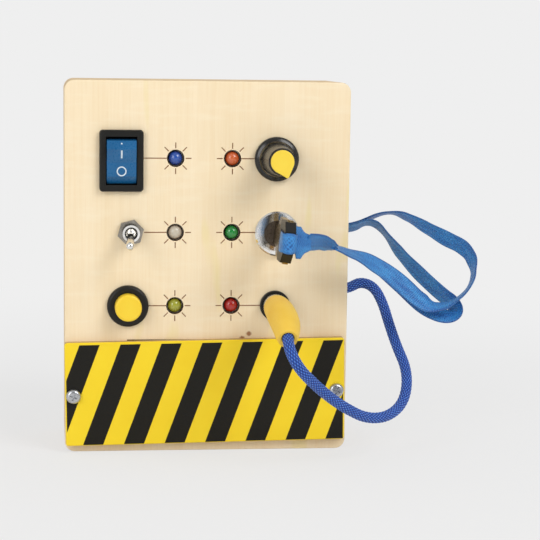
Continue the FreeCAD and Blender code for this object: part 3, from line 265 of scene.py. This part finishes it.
def lens(name, base, deep):
    """Tinted epoxy lamp, cloudy inside with a clear glossy skin, and painted shade that darkens it toward
    the back, inside the panel's hole.
    """
    s = Shader(name, 0.12, Coat_Weight=0.7, Coat_Roughness=0.05, Transmission_Weight=0.12, IOR=1.5)
    cloud = s.noise(s.object, 900.0, 3.0)
    axes = s.split(s.object)
    # Painted shade: the lamp turns to its deep colour toward the back, inside the panel's hole
    depth = s.spread(axes[1], -0.0195, -0.0168)
    s.paint(s.mix(s.math("ADD", s.math("MULTIPLY", depth, 0.7), s.math("MULTIPLY", cloud, 0.35), clamp=True),
                  base, deep))
    s.rough(s.spread(cloud, 0.3, 0.7, 0.08, 0.2))
    return s.bump(cloud, 0.00003).mat


MATS = {
    "plywood": wood("plywood", colour(253, 234, 200), colour(247, 224, 184), colour(255, 241, 212),
                    colour(226, 196, 146), (PANEL_FRONT, PANEL_THICK)),
    "case_wood": wood("case_wood", colour(240, 214, 172), colour(222, 190, 144), colour(247, 226, 190)),
    "striped_board": striped(),
    "screw_steel": metal("screw_steel", colour(186, 188, 192), colour(206, 208, 212), 0.22, 0.4, 0.00002),
    "black_plastic": plastic("black_plastic", colour(20, 20, 17), colour(27, 26, 23), 0.3, 0.46, 0.00003,
                             Specular_IOR_Level=0.35),
    "blue_plastic": plastic("blue_plastic", colour(22, 92, 142), colour(30, 102, 154), 0.24, 0.36),
    "chrome": metal("chrome", colour(232, 230, 226), colour(244, 243, 240), 0.06, 0.16),
    "dark_metal": metal("dark_metal", colour(98, 90, 82), colour(122, 112, 102), 0.22, 0.4),
    "cap_plastic": plastic("cap_plastic", colour(252, 210, 44), colour(254, 218, 56), 0.3, 0.42),
    "knob_plastic": plastic("knob_plastic", colour(26, 25, 24), colour(34, 32, 30), 0.14, 0.24),
    "pointer_plastic": plastic("pointer_plastic", colour(250, 212, 60), colour(254, 222, 74), 0.3, 0.42),
    "key_metal": metal("key_metal", colour(136, 118, 84), colour(162, 142, 104), 0.2, 0.36, 0.00002),
    "boot_rubber": plastic("boot_rubber", colour(247, 201, 68), colour(251, 209, 80), 0.42, 0.58, 0.00004),
    "plug_white": plastic("plug_white", colour(226, 226, 220), colour(238, 238, 232)),
    # Each lamp's second colour is its painted shade colour
    "lens_blue": lens("lens_blue", colour(52, 98, 190), colour(14, 34, 110)),
    "lens_orange": lens("lens_orange", colour(236, 120, 66), colour(176, 62, 22)),
    "lens_white": lens("lens_white", colour(226, 216, 196), colour(170, 158, 136)),
    "lens_green": lens("lens_green", colour(40, 160, 72), colour(8, 84, 34)),
    "lens_yellow": lens("lens_yellow", colour(186, 188, 62), colour(116, 116, 22)),
    "lens_red": lens("lens_red", colour(206, 44, 36), colour(116, 10, 12)),
    "glue": plastic("glue", colour(226, 222, 206), colour(238, 236, 224), 0.3, 0.5, 0.0001),
    "tinned": metal("tinned", colour(196, 196, 192), colour(214, 214, 210), 0.25, 0.45),
    "resistor": plastic("resistor", colour(206, 182, 132), colour(190, 164, 112), 0.4, 0.6),
    "cell": plastic("cell", colour(40, 78, 60), colour(54, 96, 74), 0.3, 0.45),
    "wire_red": plastic("wire_red", colour(186, 34, 30), colour(204, 46, 40)),
    "wire_black": plastic("wire_black", colour(30, 30, 30), colour(42, 42, 42)),
    "wire_green": plastic("wire_green", colour(34, 128, 66), colour(46, 146, 78)),
}


def rope_material():
    """Braided cord: each stitch has a painted highlight on its crown and painted shade in the gaps. UV
    counts stitches.
    """
    s = Shader("rope_blue", 0.55, Sheen_Weight=0.25, Sheen_Roughness=0.4)
    axes = s.split(s.uv)
    around = s.math("SINE", s.math("MULTIPLY", axes[0], 2 * math.pi))
    along = s.math("SINE", s.math("MULTIPLY", axes[1], 2 * math.pi))
    weave = s.math("MULTIPLY", around, along)
    threads = s.noise(s.scaled(s.uv, 7, 7, 1), 1.0, 2.0)
    broad = s.noise(s.object, 130.0, 2.0)
    loose = s.math("MULTIPLY", s.math("SUBTRACT", threads, 0.5), 1.2)
    stitch_highlight_and_shade = s.spread(s.math("ADD", weave, loose), -0.5, 0.85)
    base = s.mix(s.spread(broad, 0.3, 0.7), colour(18, 94, 206), colour(28, 112, 228))
    # Painted shade colour for the gaps between stitches
    dark = colour(7, 42, 126)
    # Painted shade in the gaps, base colour on the stitches and a painted highlight (104, 160, 240) on their
    # crowns
    s.paint(s.mix(stitch_highlight_and_shade, dark, s.mix(s.spread(stitch_highlight_and_shade, 0.7, 1.0), base, colour(104, 160, 240))))
    s.rough(s.spread(threads, 0.3, 0.7, 0.42, 0.62))
    return s.bump(s.math("ADD", weave, threads), 0.0001).mat


def ribbon_material(name, base, light, dark):
    """Narrow woven tape: fine ribs across it and warp threads along it, with painted highlights on the
    raised threads and painted shade between them. UV is metres across and along.
    """
    s = Shader(name, 0.42, Sheen_Weight=0.08, Sheen_Roughness=0.4, Specular_IOR_Level=0.6)
    axes = s.split(s.uv)
    slant = s.math("ADD", axes[1], s.math("MULTIPLY", axes[0], 0.35))
    rib = s.math("SINE", s.math("MULTIPLY", slant, 2 * math.pi / 0.0008))
    warp = s.math("SINE", s.math("MULTIPLY", axes[0], 2 * math.pi / 0.00062))
    weave = s.math("MULTIPLY", rib, warp)
    fuzz = s.noise(s.scaled(s.uv, 2600, 1500, 1), 1.0, 3.0, 0.6)
    broad = s.noise(s.scaled(s.uv, 500, 90, 1), 1.0, 2.0)
    rim = s.spread(s.math("ABSOLUTE", axes[0]), 0.0026, 0.0033)
    tone = s.mix(s.spread(broad, 0.3, 0.7), base, light)
    thread = s.math("ADD", s.math("MULTIPLY", weave, 0.3), fuzz)
    # Painted highlight on the raised threads
    tone = s.mix(s.spread(thread, 0.35, 0.8, 0.0, 0.6), tone, light)
    # Painted shade between the threads
    tone = s.mix(s.spread(thread, 0.25, 0.5, 0.55, 0.0), tone, dark)
    s.paint(s.mix(s.math("MULTIPLY", rim, 0.55), tone, dark))
    s.rough(s.spread(fuzz, 0.3, 0.7, 0.32, 0.55))
    return s.bump(s.math("ADD", s.math("MULTIPLY", rib, 0.5), thread), 0.00008).mat


MATS["rope_blue"] = rope_material()
# Base colour, a lighter blue that is both random tone and the painted highlight, and the painted shade
# colour of the tape
MATS["ribbon_blue"] = ribbon_material("ribbon_blue", colour(14, 86, 168), colour(64, 154, 222),
                                      colour(5, 42, 114))

# The toggle's nut and washer are duller in the photo than the other chrome
MATS["dull_nickel"] = metal("dull_nickel", colour(150, 144, 134), colour(176, 170, 160), 0.2, 0.36)
DULL = ("toggle_nut", "toggle_washer")

for name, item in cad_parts.items():
    for slot in item.material_slots:
        key = slot.material.name.split(".")[0] if slot.material else ""
        if name in DULL:
            key = "dull_nickel"
        if key in MATS:
            slot.material = MATS[key]


# Geometry helpers
def link(name, mesh, material):
    piece = bpy.data.objects.new(name, mesh)
    bpy.context.collection.objects.link(piece)
    mesh.materials.append(material)
    return piece


def bulge(value, power):
    """A sine or cosine pushed toward a square corner, with its sign kept."""
    return math.copysign(abs(value) ** power, value)


def circle(count):
    return [2 * math.pi * i / count for i in range(count)]


def points(route):
    return [Vector(p) * MM for p in route]


def centreline(name, route):
    """Points along the smooth spline of a route, as Blender draws it with no bevel."""
    curve = bpy.data.curves.new(name + "_line", "CURVE")
    curve.dimensions = "3D"
    curve.resolution_u = 24
    spline = curve.splines.new("NURBS")
    spline.points.add(len(route) - 1)
    for point, place in zip(spline.points, points(route)):
        point.co = (*place, 1)
    spline.order_u = 3
    spline.use_endpoint_u = True
    line = bpy.data.objects.new(name + "_line", curve)
    bpy.context.collection.objects.link(line)
    mesh = bpy.data.meshes.new_from_object(line)
    found = [v.co.copy() for v in mesh.vertices]
    bpy.data.meshes.remove(mesh)
    bpy.data.objects.remove(line)
    bpy.data.curves.remove(curve)
    return found


def lengths(line):
    total, out = 0.0, [0.0]
    for a, b in zip(line, line[1:]):
        total += (b - a).length
        out.append(total)
    return out


def even(line, step):
    """The same line with stations a step apart, by straight cuts between its close points."""
    far = lengths(line)
    count = max(2, round(far[-1] / step))
    out, k = [], 0
    for i in range(count + 1):
        want = far[-1] * i / count
        while k < len(far) - 2 and far[k + 1] < want:
            k += 1
        share = (want - far[k]) / max(1e-12, far[k + 1] - far[k])
        out.append(line[k].lerp(line[k + 1], min(1.0, max(0.0, share))))
    return out


def tangents(line):
    out = []
    for i in range(len(line)):
        a = line[max(0, i - 1)]
        b = line[min(len(line) - 1, i + 1)]
        out.append((b - a).normalized())
    return out


def skin(name, rings, material, uvs):
    """Faces over a list of rings of points, with caps at both ends."""
    bm = bmesh.new()
    layer = bm.loops.layers.uv.new("UVMap")
    grid = [[bm.verts.new(p) for p in ring] for ring in rings]
    n = len(grid[0])
    for i in range(len(grid) - 1):
        for j in range(n):
            k = (j + 1) % n
            face = bm.faces.new((grid[i][j], grid[i][k], grid[i + 1][k], grid[i + 1][j]))
            face.smooth = True
            for loop, (a, b) in zip(face.loops, ((i, j), (i, j + 1), (i + 1, j + 1), (i + 1, j))):
                loop[layer].uv = uvs(a, b)
    for ring in (grid[0], grid[-1]):
        middle = bm.verts.new(sum((v.co for v in ring), Vector()) / n)
        for j in range(n):
            bm.faces.new((ring[j], ring[(j + 1) % n], middle)).smooth = True
    bmesh.ops.recalc_face_normals(bm, faces=bm.faces)
    mesh = bpy.data.meshes.new(name)
    bm.to_mesh(mesh)
    bm.free()
    return link(name, mesh, material)


# Rope from the plug's boot into the right wall
ROPE = [(49.0, 0.0, 54.2), (52.4, 0.0, 54.2), (56.6, -0.4, 56.8), (61.4, -2.2, 55.2), (64.2, -5.2, 49.6),
        (65.8, -9.2, 42.8), (67.8, -14.0, 35.6), (70.6, -21.0, 27.6), (68.6, -28.6, 19.0),
        (61.8, -36.0, 14.6), (52.5, -43.5, 15.4), (44.0, -49.4, 20.4), (37.4, -54.0, 25.4),
        (31.4, -59.4, 31.0), (27.0, -63.6, 35.6), (24.2, -63.9, 40.0), (23.0, -60.6, 43.8),
        (23.5, -55.6, 45.9)]


def braided(name, route, radius, stitches=12, pitch=0.0017, depth=0.00013, around=60):
    """Tube along a route, raised at each stitch. Gives the piece and its middle line."""
    line = even(centreline(name, route), 0.0003)
    far = lengths(line)
    way = tangents(line)
    side = way[0].orthogonal().normalized()
    rings = []
    for place, along, t in zip(line, far, way):
        side = (side - t * side.dot(t)).normalized()
        other = t.cross(side)
        ring = []
        for a in circle(around):
            lift = math.sin(a * stitches) * math.sin(2 * math.pi * along / pitch)
            r = radius - depth + depth * lift
            ring.append(place + (side * math.cos(a) + other * math.sin(a)) * r)
        rings.append(ring)
    return skin(name, rings, MATS["rope_blue"],
                lambda i, j: (stitches * j / around, far[i] / pitch)), line


rope, rope_line = braided("rope_braid", ROPE, 0.0019)
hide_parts("rope")
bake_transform(rope)

# Ribbon: two woven strands from the right wall to the key. Each route point has the tape's tilt in
# degrees: 0 shows its whole width to the front and 90 its edge
STRAND_A = [(49.0, 1.4, 76.0), (54.0, 1.4, 76.0), (60.5, 0.8, 80.0), (66.5, -0.6, 82.0), (72.5, -3.0, 80.6),
            (79.5, -6.4, 76.6), (86.0, -9.8, 73.0), (91.0, -12.4, 70.8), (94.0, -14.6, 67.2),
            (94.6, -16.6, 61.4), (92.6, -18.0, 56.6), (87.6, -19.6, 52.4), (81.6, -21.0, 50.2),
            (75.0, -22.8, 52.0), (66.5, -25.8, 59.5), (57.0, -29.8, 66.5), (47.0, -34.8, 70.8),
            (40.55, -38.17, 73.18)]
TILT_A = [66, 68, 80, 86, 70, 56, 42, 44, 58, 82, 88, 84, 66, 30, 20, 36, 66, 80]
STRAND_B = [(49.0, -1.4, 76.0), (53.4, -1.4, 76.0), (57.6, -1.6, 78.4), (61.6, -2.0, 78.0),
            (65.0, -3.2, 74.4), (70.0, -5.6, 67.4), (77.0, -8.8, 60.0), (84.0, -12.0, 53.6),
            (87.8, -14.2, 51.0), (88.6, -15.8, 47.9), (85.4, -17.0, 46.3), (79.6, -18.2, 47.6),
            (73.0, -21.2, 53.0), (65.5, -24.6, 60.2), (56.5, -28.8, 66.8), (47.0, -33.6, 70.8),
            (39.5, -36.9, 73.6)]
TILT_B = [66, 68, 74, 72, 78, 60, 46, 44, 44, 40, 42, 44, 24, 22, 38, 66, 80]


def tape(name, route, tilts, sign=1.0):
    """Flat band along a route, turned by its tilts. Gives the piece, its middle line and its length."""
    line = even(centreline(name, route), 0.0005)
    far = lengths(line)
    way = tangents(line)
    marks = []
    for place in points(route):
        marks.append(min(range(len(line)), key=lambda i: (line[i] - place).length))
    rings = []
    section = [(bulge(math.cos(a), 0.35), bulge(math.sin(a), 0.8)) for a in circle(20)]
    for i, (place, t) in enumerate(zip(line, way)):
        k = 0
        while k < len(marks) - 2 and marks[k + 1] <= i:
            k += 1
        share = (i - marks[k]) / max(1, marks[k + 1] - marks[k])
        share = min(1.0, max(0.0, share))
        share = share * share * (3 - 2 * share)
        tilt = math.radians(tilts[k] + (tilts[k + 1] - tilts[k]) * share)
        flat = CAM_FORWARD.cross(t).normalized()
        deep = t.cross(flat).normalized()
        ruling = flat * math.cos(tilt) + deep * math.sin(tilt) * sign
        normal = t.cross(ruling)
        rings.append([place + ruling * (u * TAPE_WIDTH / 2) + normal * (w * TAPE_THICK / 2)
                      for u, w in section])
    piece = skin(name, rings, MATS["ribbon_blue"],
                 lambda i, j: (section[j % len(section)][0] * TAPE_WIDTH / 2, far[i]))
    return piece, line, far[-1]


strands = {}
for key, route, tilts, exit_y, node in (("a", STRAND_A, TILT_A, 0.0014, "ribbon_strand_a"),
                                        ("b", STRAND_B, TILT_B, -0.0014, "ribbon_strand_b")):
    piece, line, size = tape("ribbon_tape_" + key, route, tilts)
    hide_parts(node)
    strands[key] = (piece, line, size)


# Lead and knot at the key's head
def lead_tapes():
    """The two strands where they are pinched together beside the knot."""
    lead = [(41.2, -37.6, 73.0), (38.8, -38.0, 74.0), (36.0, -39.4, 74.9), (32.0, -42.3, 75.3),
            (30.6, -43.4, 75.4)]
    upper = tape("lead_tape_front", [(x, y - 0.9, z + 0.7) for x, y, z in lead],
                 [82, 62, 52, 48, 48], sign=-1.0)[0]
    lower = tape("lead_tape_back", [(x, y + 0.4, z - 0.5) for x, y, z in lead],
                 [80, 60, 50, 46, 46], sign=-1.0)[0]
    return [upper, lower]


lead_pieces = lead_tapes()


def flap_piece():
    """Flared fold of the tape: tall beside the head, narrow where it holds the strands."""
    rings = []
    steps, around = 26, 28
    for i in range(steps):
        s = i / (steps - 1)
        x = 26.55 + 5.9 * s
        y = -46.7 + 4.2 * s - 0.7 * math.sin(math.pi * s)
        z = 75.75 - 0.6 * s
        half = 5.2 * (1 - s) ** 1.5 + 2.35 + 0.25 * math.sin(9 * s)
        half = min(half, 5.4)
        ring = []
        for a in circle(around):
            up = bulge(math.sin(a), 0.8)
            fold = 0.22 * math.sin(7 * up + 4 * s) * (1 - 0.5 * s)
            thick = 0.95 + 0.5 * s
            ring.append(Vector((x + 0.35 * up * up * (1 - s), y - math.cos(a) * thick * 0.8 + fold * 0.5,
                                z + up * half)) * MM)
        rings.append(ring)
    return skin("knot_flap", rings, MATS["ribbon_blue"],
                lambda i, j: (0.003 * math.sin(2 * math.pi * j / around), 0.00028 * i))


def loop_piece():
    """Band of tape that goes round the head's outer bar, a closed ring that leans with the bar."""
    rings = []
    cx, cy, cz = 23.95, -48.85, 75.95
    lean = math.radians(7)
    turns, around = 56, 20
    for a in circle(turns):
        ox = bulge(math.cos(a), 0.6)
        oy = bulge(math.sin(a), 0.6)
        ring = []
        for b in circle(around):
            up = bulge(math.sin(b), 0.35)
            out = bulge(math.cos(b), 0.8) * 0.32
            pucker = 0.14 * math.sin(5 * a + 3 * up) * (1 if math.sin(a) < 0 else 0.3)
            half = 3.35 + 0.12 * math.sin(3 * a)
            lx = (2.3 + out + pucker) * ox
            ly = (4.15 + out + pucker) * oy
            lz = up * half
            x = cx + lx * math.cos(lean) + lz * math.sin(lean)
            z = cz - lx * math.sin(lean) + lz * math.cos(lean)
            ring.append(Vector((x, cy + ly, z)) * MM)
        rings.append(ring)
    bm = bmesh.new()
    layer = bm.loops.layers.uv.new("UVMap")
    grid = [[bm.verts.new(p) for p in ring] for ring in rings]
    for i in range(turns):
        for j in range(around):
            k = (j + 1) % around
            m = (i + 1) % turns
            face = bm.faces.new((grid[i][j], grid[i][k], grid[m][k], grid[m][j]))
            face.smooth = True
            for loop, (p, q) in zip(face.loops, ((i, j), (i, j + 1), (i + 1, j + 1), (i + 1, j))):
                loop[layer].uv = (0.0033 * math.sin(2 * math.pi * q / around), 0.0003 * p)
    bmesh.ops.recalc_face_normals(bm, faces=bm.faces)
    mesh = bpy.data.meshes.new("knot_loop")
    bm.to_mesh(mesh)
    bm.free()
    return link("knot_loop", mesh, MATS["ribbon_blue"])


flap = flap_piece()
loop = loop_piece()
for piece in (flap, loop):
    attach(piece, "key")
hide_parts("ribbon_knot")
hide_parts("ribbon_lead")
for piece in lead_pieces:
    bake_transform(piece)
for key, (piece, line, size) in strands.items():
    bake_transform(piece)


# Marks on the rocker: a printed bar and ring, and a small white pip above them
def rocker_marks():
    white = plastic("mark_white", colour(222, 232, 238), colour(206, 220, 230), 0.35, 0.5, 0.00001, 900.0)
    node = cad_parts["rocker_button"]
    bm = bmesh.new()

    def plate(outline, inner=None):
        """Flat mark in the panel's plane, laid on the rocker's front below."""
        outer = [bm.verts.new((x * MM, -0.03, z * MM)) for x, z in outline]
        if inner is None:
            bm.faces.new(outer)
            return
        hole = [bm.verts.new((x * MM, -0.03, z * MM)) for x, z in inner]
        n = len(outer)
        for i in range(n):
            bm.faces.new((outer[i], outer[(i + 1) % n], hole[(i + 1) % n], hole[i]))

    def ring(cx, cz, r, n=36):
        return [(cx + r * math.cos(a), cz + r * math.sin(a)) for a in circle(n)]

    cx = -29.7
    # Small white pip near the rocker's raised end
    plate(ring(cx, 106.75, 0.28, 16))
    plate([(cx - 0.28, 101.75), (cx + 0.28, 101.75), (cx + 0.28, 104.45), (cx - 0.28, 104.45)])
    plate(ring(cx, 97.3, 1.68), ring(cx, 97.3, 1.26))
    bmesh.ops.subdivide_edges(bm, edges=[e for e in bm.edges if e.calc_length() > 0.001], cuts=4)
    # Drop each point onto the rocker's own front face
    tree = BVHTree.FromPolygons([v.co.copy() for v in node.data.vertices],
                                [tuple(p.vertices) for p in node.data.polygons])
    for v in bm.verts:
        hit = tree.ray_cast(Vector((v.co.x, -0.05, v.co.z)), Vector((0, 1, 0)))
        if hit[0]:
            v.co.y = hit[0].y - 0.00002
    mesh = bpy.data.meshes.new("rocker_marks")
    bm.to_mesh(mesh)
    bm.free()
    piece = link("rocker_marks", mesh, white)
    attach(piece, "rocker")


rocker_marks()


# Floor, backdrop and light
def fade(tree, source, low, high, to_low, to_high):
    """Smooth change from to_low to to_high as the source goes from low to high."""
    node = tree.nodes.new("ShaderNodeMapRange")
    node.interpolation_type = "SMOOTHSTEP"
    for socket, value in zip(node.inputs[1:5], (low, high, to_low, to_high)):
        socket.default_value = value
    tree.links.new(source, node.inputs[0])
    return node.outputs[0]


def stage():
    """Floor that takes the shadow and pales to the backdrop, and the world's light all round."""
    reach = 40
    pale = colour(239, 239, 239)
    floor = bpy.data.materials.new("floor")
    floor.use_nodes = True
    tree = floor.node_tree
    bsdf = tree.nodes["Principled BSDF"]
    noise = tree.nodes.new("ShaderNodeTexNoise")
    noise.inputs["Scale"].default_value = 6
    ramp = tree.nodes.new("ShaderNodeMix")
    ramp.data_type = "RGBA"
    ramp.inputs[6].default_value = colour(236, 236, 236)
    ramp.inputs[7].default_value = colour(240, 240, 240)
    tree.links.new(noise.outputs["Fac"], ramp.inputs["Factor"])
    tree.links.new(ramp.outputs[2], bsdf.inputs["Base Color"])
    bsdf.inputs["Roughness"].default_value = 0.9
    glow = tree.nodes.new("ShaderNodeEmission")
    glow.inputs["Color"].default_value = pale
    path = tree.nodes.new("ShaderNodeLightPath")
    blend = tree.nodes.new("ShaderNodeMixShader")
    coords = tree.nodes.new("ShaderNodeTexCoord")
    away = tree.nodes.new("ShaderNodeVectorMath")
    away.operation = "LENGTH"
    tree.links.new(coords.outputs["Object"], away.inputs[0])
    amount = tree.nodes.new("ShaderNodeMath")
    amount.operation = "MULTIPLY"
    tree.links.new(fade(tree, away.outputs["Value"], 0.06, 0.42, 0.72, 1.0), amount.inputs[1])
    tree.links.new(path.outputs["Is Camera Ray"], amount.inputs[0])
    tree.links.new(amount.outputs[0], blend.inputs[0])
    tree.links.new(bsdf.outputs[0], blend.inputs[1])
    tree.links.new(glow.outputs[0], blend.inputs[2])
    tree.links.new(blend.outputs[0], tree.nodes["Material Output"].inputs["Surface"])
    bm = bmesh.new()
    corners = ((-reach, -reach), (reach, -reach), (reach, reach), (-reach, reach))
    bm.faces.new([bm.verts.new((x, y, 0)) for x, y in corners])
    mesh = bpy.data.meshes.new("floor")
    bm.to_mesh(mesh)
    bm.free()
    link("floor", mesh, floor)

    world = bpy.data.worlds.new("studio")
    bpy.context.scene.world = world
    world.use_nodes = True
    tree = world.node_tree
    back = tree.nodes["Background"]
    # Light from all round, with a dim patch in front where the photographer's room is
    coords = tree.nodes.new("ShaderNodeTexCoord")
    toward = tree.nodes.new("ShaderNodeVectorMath")
    toward.operation = "DOT_PRODUCT"
    toward.inputs[1].default_value = (-0.05, -0.99, 0.02)
    tree.links.new(coords.outputs["Generated"], toward.inputs[0])
    dim = fade(tree, toward.outputs["Value"], 0.55, 0.9, 0.58, 0.12)
    back.inputs["Color"].default_value = (1.0, 1.0, 1.0, 1)
    tree.links.new(dim, back.inputs["Strength"])
    seen = tree.nodes.new("ShaderNodeBackground")
    seen.inputs["Color"].default_value = pale
    path = tree.nodes.new("ShaderNodeLightPath")
    either = tree.nodes.new("ShaderNodeMath")
    either.operation = "MAXIMUM"
    tree.links.new(path.outputs["Is Camera Ray"], either.inputs[0])
    tree.links.new(path.outputs["Is Transmission Ray"], either.inputs[1])
    blend = tree.nodes.new("ShaderNodeMixShader")
    tree.links.new(either.outputs[0], blend.inputs[0])
    tree.links.new(back.outputs[0], blend.inputs[1])
    tree.links.new(seen.outputs[0], blend.inputs[2])
    tree.links.new(blend.outputs[0], tree.nodes["World Output"].inputs["Surface"])


stage()


def area(name, place, target, size, power):
    data = bpy.data.lights.new(name, "AREA")
    data.shape = "RECTANGLE"
    data.size, data.size_y = size
    data.energy = power
    lamp = bpy.data.objects.new(name, data)
    bpy.context.collection.objects.link(lamp)
    place, target = Vector(place), Vector(target)
    aim = (target - place).to_track_quat("-Z", "Y").to_matrix().to_4x4()
    lamp.matrix_world = Matrix.Translation(place) @ aim


area("key", (0.8, -0.95, 1.0), (0, 0, 0.06), (0.75, 0.75), 9.8)
area("front_fill", (-0.85, -1.0, 0.55), (0, 0, 0.06), (0.6, 0.8), 5.5)

bpy.context.scene.view_settings.view_transform = "Standard"
